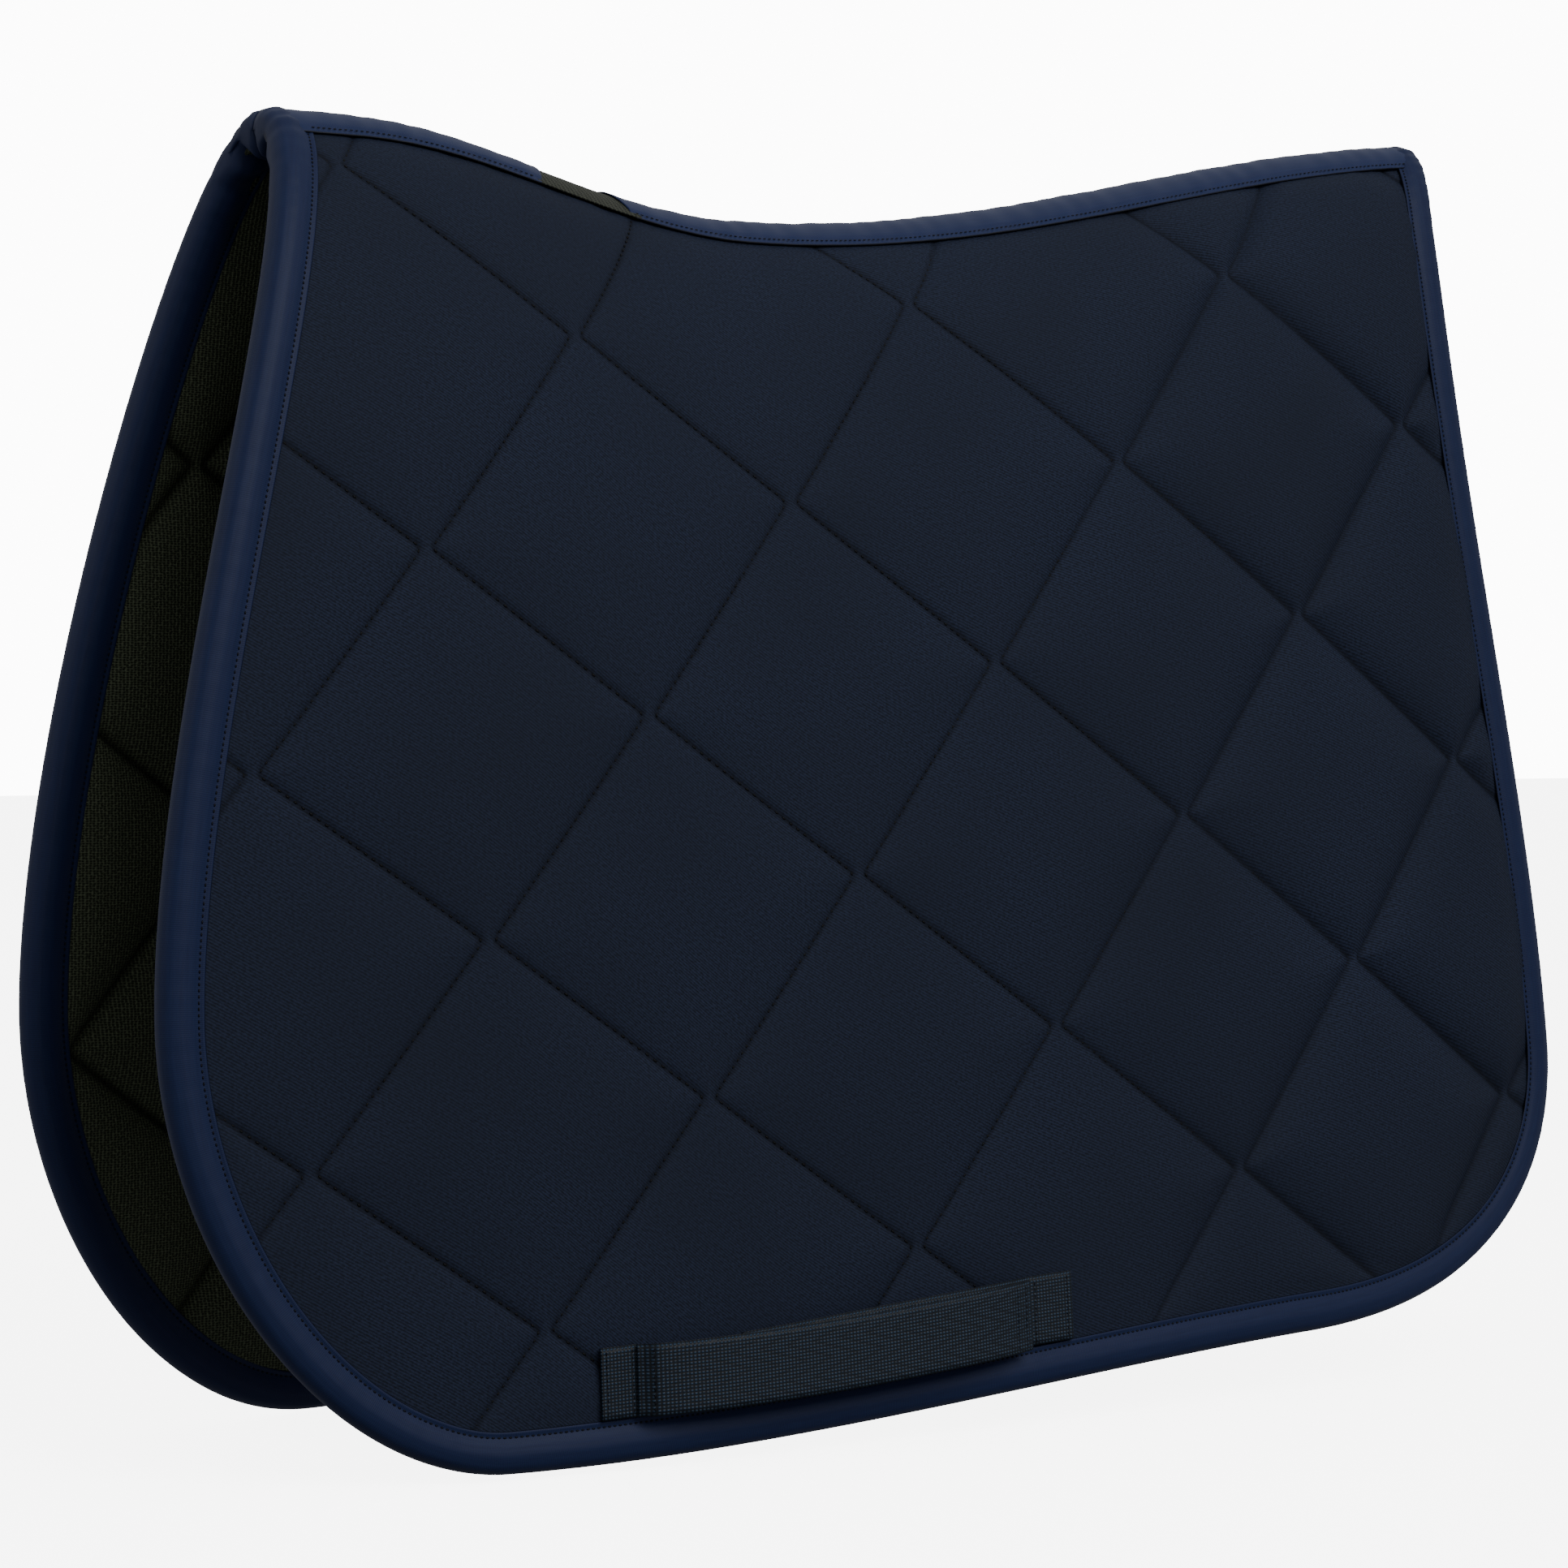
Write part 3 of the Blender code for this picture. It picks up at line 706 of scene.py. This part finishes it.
def quilted_panel(side, name, material, on_shell, crease, puff, channel):
    """One half of a flap's padding, laid on the left: the shell's side, or the lining's."""
    blank = blanks[side]
    flat, inset, sewn = blank["flat"], blank["inset"], blank["sewn"]
    depth = foam_depth(flat, sewn, inset, crease, puff)
    face = depth if on_shell else PAD_THICK - depth
    depths = np.where(blank["layer"] > 0.5, MID_DEPTH + (0.0 if on_shell else 0.2 * MM), face)
    form = blank["form"].copy()
    for vert, co in zip(form.verts, lift(flat[:, 0], flat[:, 1], depths)):
        vert.co = co
    bmesh.ops.recalc_face_normals(form, faces=form.faces)
    piece = make_piece(name, form, flat, flat[:, 1], material)
    layer = piece.data.attributes.new("layer", "FLOAT", "POINT")
    layer.data.foreach_set("value", blank["layer"].astype(np.float32))
    held = np.maximum(np.exp(-(sewn / (3.0 * MM)) ** 2),
                      np.maximum(blank["layer"], held_flat(flat, inset) ** 2))
    swell(piece, np.clip(held, 0.0, 1.0), 4.0, (1.6 if on_shell else 2.2) * MM)
    finer = piece.modifiers.new("finer", "SUBSURF")
    finer.levels = finer.render_levels = 1
    smooth = bpy.data.meshes.new_from_object(
        piece.evaluated_get(bpy.context.evaluated_depsgraph_get()))
    piece.modifiers.remove(finer)
    piece.data = smooth
    press_seams(piece, quilts[side], channel, (1.1 if on_shell else 1.8) * MM, on_shell)
    return piece


def press_seams(piece, quilt, channel, shaded, on_shell):
    """Presses the narrow channel of each seam into the face, and stores painted shade along it in
    the seam attribute.
    """
    mesh = piece.data
    co = np.zeros(len(mesh.vertices) * 3)
    mesh.vertices.foreach_get("co", co)
    co = co.reshape(-1, 3)
    layer = read_values(mesh, "layer")
    flat = np.stack([co[:, 0], read_values(mesh, "reach")], axis=1)
    found = [quilt["tree"].find((x, q, 0.0)) for x, q in flat]
    sewn = np.array([place[2] for place in found])
    pull_and_shade = quilt["pull_and_shade"][[place[1] for place in found]]
    press = channel * pull_and_shade * np.exp(-(sewn / CHANNEL_HALF) ** 2) * (layer < 0.02)
    inwards = facing(flat[:, 0], flat[:, 1]) * (1.0 if on_shell else -1.0)
    mesh.vertices.foreach_set("co", (co + inwards * press[:, None]).ravel())
    # Painted shade along each seam, fading over the shaded width, weaker on seams that run down
    # to the front.
    shade = 0.8 * pull_and_shade * np.exp(-(sewn / shaded) ** 2)
    seam = mesh.attributes.new("seam", "FLOAT", "POINT")
    seam.data.foreach_set("value", shade.astype(np.float32))
    mesh.update()


for side in ("left", "right"):
    shell = quilted_panel(side, f"{side}_quilted_shell", twill, True, shell_crease, shell_puff,
                          0.6 * MM)
    lining = quilted_panel(side, f"{side}_quilted_lining", knit, False, lining_crease,
                           lining_puff, 0.9 * MM)
    for piece, node_names, slot_name in (
            (shell, ("shell_panel", "foam_core"), "shell_fabric"),
            (lining, ("lining_panel",), "spacer_lining")):
        if side == "right":
            turn_over(piece)
        over_spine(piece)
        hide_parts(*[f"{side}_{node}" for node in node_names])
    print(side, "shell panel", len(shell.data.polygons), "faces")

# %% [markdown]
# ## Edge binding
#
# The binding is a folded satin tape that wraps the padded edge, 16 mm of it on each face,
# and is held by one row of stitches near its hem. Its section is swept all round the flap,
# from the ridge's front end to its rear end. Cloth that is fed round a curve puckers, so
# small waves run across it, larger where it crosses the ridge.

# %% Binding round a flap
TAPE_ROUND = 45.0 * MM     # width of the flat binding tape


def binding_section(v):
    """Inset and depth round the binding's section, from the outer hem to the inner hem."""
    marks = np.array([0.0, 0.04, 0.10, 0.17, 0.28, 0.38, 0.44, 0.50])
    inset = np.array([16.6, 16.0, 14.4, 12.0, 7.6, 3.0, 0.7, 0.1]) * MM
    depth = np.array([0.5, 0.1, 0.8, -0.55, -1.5, -0.5, 2.6, 6.3]) * MM
    fold = np.where(v > 0.5, 1.0 - v, v)
    dense = np.linspace(0.0, 0.5, 60)
    curves = [np.interp(dense, marks, values) for values in (inset, depth)]
    for _ in range(3):
        curves = [np.concatenate([c[:1], (c[:-2] + 2 * c[1:-1] + c[2:]) / 4, c[-1:]])
                  for c in curves]
    side = np.interp(fold, dense, curves[1])
    return np.interp(fold, dense, curves[0]), np.where(v > 0.5, PAD_THICK - side, side)


def binding_place(u, v):
    length = 0.0005 + u * (EDGE_TOTAL - 0.001)
    inset, depth = binding_section(v)
    flat = edge_at(length, inset)
    flat[:, 1] = np.maximum(flat[:, 1], 0.0)
    tight = np.exp(-np.minimum(length, EDGE_TOTAL - length) / 0.03)
    wave = np.sin(length / (1.35 * MM) + 1.4 * np.sin(length / 0.011))
    wave = wave + 0.7 * np.sin(length / (2.3 * MM) + 2.0 * np.sin(length / 0.017))
    pucker = (0.03 + 0.4 * tight) * MM * wave * np.sin(np.pi * v) ** 0.5
    bunch = np.exp(-(length / 0.034) ** 2) * np.sin(length / (4.2 * MM) + 5.0 * v)
    pucker = pucker + 4.0 * MM * bunch * swing(v, 0.35, 0.6) * swing(-v, -1.0, -0.85)
    points = lift(flat[:, 0], flat[:, 1], depth + np.where(v > 0.5, -1.0, 1.0) * pucker)
    hem = TAPE_ROUND * np.minimum(v, 1.0 - v)
    return points, np.stack([length, hem], axis=1), flat[:, 1]


binding = laid_sheet("left_binding", (900, 34), binding_place, 0.5 * MM, binding_satin)
right_binding = mirrored(binding, "right_binding")
for side, piece in (("left", binding), ("right", right_binding)):
    over_spine(piece)
    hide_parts(f"{side}_edge_binding", "front_bridge_binding", "rear_bridge_binding")
print("binding", len(binding.data.polygons), "faces a side")

# %% [markdown]
# ## Spine tapes and the vent
#
# A wider satin tape covers the seam along the spine on the outside, and a narrow one on the
# inside. Just behind the withers the outer tape stops, and a piece of open mesh lets sweat
# and heat out. The tape is eased on as it is sewn, so it puckers between its stitch rows.

# %% Spine tapes and vent
def spine_strip(start, finish, half, height, pucker, from_inside=False):
    """Lays a strip along the spine; start and finish may bow by q."""
    def place(u, v):
        across = 1.0 - 2.0 * v
        q = across * half
        first, last = start(np.abs(across)), finish(np.abs(across))
        x = first + (last - first) * u
        waves = np.sin(x / (1.9 * MM) + 1.3 * np.sin(x / 0.013) + across)
        waves = waves + 0.6 * np.sin(x / (3.4 * MM) + 2.1 * np.sin(x / 0.021) - 2.0 * across)
        waves = waves + 1.2 * np.sin(x / (7.5 * MM) + 1.9 * np.sin(x / 0.037) + 1.5 * across)
        row = np.exp(-((1.0 - np.abs(across)) * half - 3.0 * MM) ** 2 / (1.6 * MM) ** 2)
        dome = height * (1.0 - across ** 6) - 0.5 * height * row
        up = dome + pucker * waves * (0.35 + row) * (1.0 - across ** 8)
        depth = PAD_THICK + up if from_inside else -up
        return lift(x, q, depth), np.stack([x, half * (1.0 - np.abs(across))], axis=1), q
    return place


def straight(x):
    return lambda across: x + 0.0 * across


def bowed(x, bow):
    """An end that curves along the spine towards its two sides."""
    return lambda across: x + bow * across ** 2


tape_ends = (-SPINE_FRONT + 6.0 * MM, SPINE_REAR - 6.0 * MM)
front_tape = laid_sheet("spine_tape_front_satin", (120, 40),
                        spine_strip(straight(tape_ends[0]), bowed(INSERT[0], -5.0 * MM),
                                    TAPE_HALF, 0.9 * MM, 0.28 * MM), 0.5 * MM, tape_satin)
rear_tape = laid_sheet("spine_tape_rear_satin", (420, 40),
                       spine_strip(bowed(INSERT[1], 5.0 * MM), straight(tape_ends[1]),
                                   TAPE_HALF, 0.9 * MM, 0.28 * MM), 0.5 * MM, tape_satin)
vent_patch = laid_sheet("withers_vent_mesh", (60, 40),
                        spine_strip(straight(INSERT[0] - 8.0 * MM),
                                    straight(INSERT[1] + 8.0 * MM), TAPE_HALF - 0.5 * MM,
                                    0.1 * MM, 0.05 * MM), 0.4 * MM, vent)
inner_tape = laid_sheet("spine_lining_satin", (420, 16),
                        spine_strip(straight(tape_ends[0]), straight(tape_ends[1]), 12.0 * MM,
                                    0.7 * MM, 0.2 * MM, True), 0.5 * MM, tape_satin)
for piece, node, slot_name in ((front_tape, "spine_tape_front", "satin_binding"),
                               (rear_tape, "spine_tape_rear", "satin_binding"),
                               (vent_patch, "withers_mesh_insert", "vent_mesh"),
                               (inner_tape, "spine_lining_tape", "satin_binding")):
    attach(piece, "spine")
    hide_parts(node)
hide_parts("spine_foam")
print("spine tapes and vent laid")

# %% [markdown]
# ## Girth keeper
#
# The keeper is a loop of webbing near the lower edge that holds the girth. A tab at each end
# is sewn to the shell. The under strap starts at the rear tab, and the upper strap folds
# back at the front tab and closes over it with hook and loop tape. Straps are flat and firm,
# so they are laid out directly as thin sheets that stand off the flap between the tabs.

# %% Girth keeper
KEEPER_START = -114.5 * MM
FRONT_CREASE = KEEPER_START + 16.0 * MM
REAR_TAB_START = KEEPER_START + 190.5 * MM
KEEPER_FINISH = KEEPER_START + 212.5 * MM
STAND_OFF = 9.0 * MM       # room for the girth behind the straps
BASE_RIDES_UP = 1.8 * MM   # the under strap shows above the upper one
HEIGHTS = {"base": 0.8 * MM, "loop": 2.7 * MM, "hook": 4.2 * MM, "top": 5.7 * MM}
front_point, rear_point = EDGE_LENGTH[EDGE[:, 0].argmin()], EDGE_LENGTH[EDGE[:, 0].argmax()]
lower_line = edge_at(np.linspace(front_point, rear_point, 300), 17.0 * MM)


def keeper_point(x, across, height):
    """Point on a strap: across its width, at a height above the shell."""
    centre = np.interp(x, lower_line[:, 0], lower_line[:, 1]) - 0.5 * WEB_WIDTH
    return lift(x, centre - across, -height)


def stand_off(x):
    """How far the straps stand off the flap between their tabs."""
    part = np.clip((x - FRONT_CREASE) / (REAR_TAB_START - FRONT_CREASE), 0.0, 1.0)
    return STAND_OFF * (1.0 - (2.0 * part - 1.0) ** 4)


def strap(start, finish, width, bottom, thickness, ride_up, fold):
    def place(u, v):
        x = start + (finish - start) * u
        across = (v - 0.5) * width + ride_up * np.sin(np.pi * u)
        selvedge = 0.25 * MM * (np.abs(v - 0.5) > 0.46)
        height = bottom + 0.5 * thickness + stand_off(x) - selvedge
        height = height - fold * (1.0 - swing(x, start, start + 7.0 * MM))
        pattern = np.stack([x, (v - 0.5) * width + 0.5 * WEB_WIDTH], axis=1)
        return keeper_point(x, across, height), pattern, across
    return place


for name, body, start, finish, width, level, thick, cells, look, node in (
        ("front_tab", "flap", KEEPER_START, FRONT_CREASE - 1.2 * MM, WEB_WIDTH, "base", 1.4, 20,
         webbing, "keeper_front_tab"),
        ("base_strap", "flap", FRONT_CREASE + 40.0 * MM, KEEPER_FINISH, WEB_WIDTH, "base", 1.4,
         120, webbing, "keeper_base_strap"),
        ("loop_tape", "flap", FRONT_CREASE + 45.0 * MM, REAR_TAB_START - 12.0 * MM, 22.0 * MM,
         "loop", 1.1, 60, hook, "keeper_loop_tape"),
        ("top_strap", "keeper", FRONT_CREASE - 1.6 * MM, REAR_TAB_START - 2.0 * MM, WEB_WIDTH,
         "top", 1.4, 140, webbing, "keeper_top_strap"),
        ("hook_tape", "keeper", REAR_TAB_START - 77.0 * MM, REAR_TAB_START - 6.0 * MM, 22.0 * MM,
         "hook", 1.1, 60, hook, "keeper_hook_tape")):
    left = laid_sheet(f"left_keeper_{name}_woven", (cells, 14),
                      strap(start, finish, width, HEIGHTS[level], thick * MM,
                            BASE_RIDES_UP if name in ("base_strap", "loop_tape") else 0.0,
                            3.2 * MM if name == "top_strap" else 0.0),
                      thick * MM, look)
    right = mirrored(left, f"right_keeper_{name}_woven")
    for side, piece in (("left", left), ("right", right)):
        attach(piece, f"{side}_{body}")
        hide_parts(f"{side}_{node}")
    print(name, len(left.data.polygons), "faces a side")

# %% [markdown]
# ## Stitches
#
# A lockstitch sinks between its needle holes, so it shows as a row of short dark dashes: 3.7
# mm apart on the quilting and 2.3 mm apart along the hems. Each dash is one stretched low
# sphere, laid along its seam and sunk halfway into the cloth.

# %% Stitches
STITCH_SIDES, STITCH_RINGS = 6, 4
STITCHES_AT_ONCE = 40      # a bmesh slows down as it grows
HEM_INSET = 14.4 * MM      # the binding's stitches, from the flap's edge


def stitch_rows(name, rows, length, gap, radius, place, material):
    """Lays stitches along flat rows; place(flat) gives the points they lie on."""
    dashes = []
    for row in rows:
        steps = lengths_along(row)
        starts = np.arange(0.3 * gap, steps[-1] - length, length + gap)
        if not len(starts):
            continue
        ends = [points_at(at, steps, row) for at in (starts, starts + length)]
        outwards = -facing(ends[0][:, 0], ends[0][:, 1])
        dashes.extend(zip(place(ends[0]), place(ends[1]), outwards, ends[0]))
    form = bmesh.new()
    carrier = bpy.data.meshes.new("few_stitches")
    for first in range(0, len(dashes), STITCHES_AT_ONCE):
        few = bmesh.new()
        for a, b, out, flat in dashes[first:first + STITCHES_AT_ONCE]:
            along = Vector(b - a)
            up = Vector(out)
            side = up.cross(along).normalized()
            turn = Matrix((along.normalized(), side, up)).transposed().to_4x4()
            size = Matrix.Diagonal((0.5 * along.length, radius, 0.8 * radius, 1.0))
            spot = Matrix.Translation(Vector(0.5 * (a + b)))
            bmesh.ops.create_uvsphere(few, u_segments=STITCH_SIDES, v_segments=STITCH_RINGS,
                                      radius=1.0, matrix=spot @ turn @ size)
        few.to_mesh(carrier)
        few.free()
        form.from_mesh(carrier)
    bpy.data.meshes.remove(carrier)
    print(name, len(dashes), "stitches")
    middles = nearest([0.5 * (dash[0] + dash[1]) for dash in dashes])
    flat = np.array([dashes[middles.find(vert.co)[1]][3] for vert in form.verts])
    return make_piece(name, form, flat, flat[:, 1], material)


def on_surface(depth_of):
    """A place for stitches, at a depth that depends on x."""
    return lambda flat: lift(flat[:, 0], flat[:, 1], depth_of(flat[:, 0]))


def along_hem():
    """Flat row along the binding's hem, from one end of the ridge to the other."""
    length = np.arange(4.0 * MM, EDGE_TOTAL - 4.0 * MM, 2.0 * MM)
    row = edge_at(length, np.full(len(length), HEM_INSET))
    return row[row[:, 1] > 0.5 * MM]


STITCH_DEPTH = {
    "quilting_thread": lambda x: shell_crease(x) + 0.15 * MM,
    "lining_thread": lambda x: PAD_THICK - lining_crease(x) - 0.5 * MM,
    "binding_thread": lambda x: np.full(len(x), 0.3 * MM),
    "inner_binding_thread": lambda x: np.full(len(x), PAD_THICK - 0.3 * MM)}

for side in ("left", "right"):
    for name, depth_of in STITCH_DEPTH.items():
        on_hem = "binding" in name
        rows = [along_hem()] if on_hem else quilts[side]["runs"]
        length, gap, radius = (1.5, 0.8, 0.44) if on_hem else (1.9, 1.8, 0.48)
        thread = navy_thread if on_hem else black_thread
        piece = stitch_rows(f"{side}_{name}", rows, length * MM, gap * MM, radius * MM,
                            on_surface(depth_of), thread)
        if side == "right":
            turn_over(piece)
        over_spine(piece)

# %% [markdown]
# The spine tape is held by a row of stitches along each of its edges. The keeper is sewn
# with a single row at the front end of its front tab and another where the strap folds back,
# a double row at the strap's free end, and one row at each end of the rear tab.

# %% Tape and keeper stitches
def along_tape(edge):
    """Flat row of stitches near one edge of the spine tape, on both sides of the vent."""
    x = np.arange(tape_ends[0] + 8.0 * MM, tape_ends[1] - 8.0 * MM, 2.0 * MM)
    row = np.stack([x, np.full(len(x), edge)], axis=1)
    return [row[x < INSERT[0] - 4.0 * MM], row[x > INSERT[1] + 4.0 * MM]]


def across_strap(x):
    """A row of stitches across the webbing at x, as (x, across)."""
    across = np.linspace(-0.5, 0.5, 16) * (WEB_WIDTH - 3.0 * MM)
    return np.stack([np.full(16, x), across], axis=1)


tape_rows = [row for edge in (-1.0, 1.0) for row in along_tape(edge * (TAPE_HALF - 3.0 * MM))]
tape_thread = stitch_rows("spine_tape_thread", tape_rows, 1.5 * MM, 0.8 * MM, 0.28 * MM,
                          on_surface(lambda x: np.full(len(x), -0.75 * MM)), navy_thread)
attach(tape_thread, "spine")
base_top, strap_top = HEIGHTS["base"] + 1.4 * MM, HEIGHTS["top"] + 1.4 * MM
sewn_across = {
    "flap": (base_top, (KEEPER_START + 2.2 * MM, FRONT_CREASE - 3.0 * MM,
                        KEEPER_FINISH - 2.4 * MM, REAR_TAB_START + 4.0 * MM)),
    "keeper": (strap_top, (FRONT_CREASE + 3.0 * MM, REAR_TAB_START - 5.0 * MM,
                           REAR_TAB_START - 10.0 * MM))}
for body, (height, places) in sewn_across.items():
    for at, x in enumerate(places):
        left = stitch_rows(f"left_{body}_keeper_thread_{at + 1}", [across_strap(x)], 1.6 * MM,
                           0.9 * MM, 0.45 * MM,
                           lambda f: keeper_point(f[:, 0], f[:, 1], height + stand_off(f[:, 0])),
                           navy_thread)
        right = mirrored(left, left.name.replace("left", "right"))
        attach(left, f"left_{body}")
        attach(right, f"right_{body}")

# %% [markdown]
# ## Stage
#
# The pad is shown on a plain pale floor under soft studio light, seen from its front left
# and just above the middle of its height.

# %% Stage, lights and camera
FLOOR_HEIGHT = -0.4755     # just under the flaps' lower edges
BACKDROP = 12.0            # brightness of the white background, as the camera sees it
floor_form = bmesh.new()
bmesh.ops.create_grid(floor_form, x_segments=1, y_segments=1, size=12.0,
                      matrix=Matrix.Translation((0.0, 0.0, FLOOR_HEIGHT)))
floor_mesh = bpy.data.meshes.new("studio_floor")
floor_form.to_mesh(floor_mesh)
floor_form.free()
floor = add_object("studio_floor", floor_mesh)
paper = bpy.data.materials.new("white_paper")
paper.use_nodes = True
for socket, value in (("Base Color", colour("#f4f4f4")), ("Roughness", 0.9),
                      ("Emission Color", colour("#ffffff")), ("Emission Strength", 6.0)):
    paper.node_tree.nodes["Principled BSDF"].inputs[socket].default_value = value
floor_mesh.materials.append(paper)
floor.visible_diffuse = False  # a dim floor under the pad, though it looks bright
floor.visible_glossy = False

world = bpy.data.worlds.new("studio")
world.use_nodes = True
sky = world.node_tree
seen = add_node(sky, "LightPath", {})
towards = add_node(sky, "TexCoord", {})
height = add_node(sky, "SeparateXYZ", {0: towards.outputs["Generated"]})
tent = add_node(sky, "MapRange", {"Value": height.outputs["Z"], "From Min": -0.6,
                                  "From Max": 0.6, "To Min": 0.25, "To Max": 0.8})
backdrop = add_node(sky, "Mix", {0: seen.outputs["Is Camera Ray"], 2: tent.outputs[0],
                                 3: BACKDROP})
sky.links.new(backdrop.outputs[0], sky.nodes["Background"].inputs["Strength"])
sky.nodes["Background"].inputs["Color"].default_value = (1.0, 1.0, 1.0, 1.0)
bpy.context.scene.world = world


def softbox(name, place, aim, size, power):
    """A square soft light at a place, aimed at a point."""
    light = bpy.data.lights.new(name, "AREA")
    light.size = size
    light.energy = power
    lamp = add_object(name, light)
    lamp.location = place
    lamp.rotation_euler = (Vector(aim) - Vector(place)).to_track_quat("-Z", "Y").to_euler()


middle = (0.03, 0.0, -0.2)
softbox("key_softbox", (0.2, -2.3, 1.3), middle, 1.6, 82.0)
softbox("rim_softbox", (-2.2, 0.6, 0.9), middle, 1.2, 10.0)

CAMERA_AIM = Vector((0.0279, 0.0, -0.2172))
CAMERA_BACK = Vector((-0.52984, -0.84792, 0.01745))
CAMERA_DISTANCE = 1.75
camera = add_object("camera", bpy.data.cameras.new("camera"))
camera.data.sensor_width = 36.0
camera.data.lens = 97.03
camera.location = CAMERA_AIM + CAMERA_DISTANCE * CAMERA_BACK
camera.rotation_euler = (-CAMERA_BACK).to_track_quat("-Z", "Y").to_euler()
bpy.context.scene.camera = camera
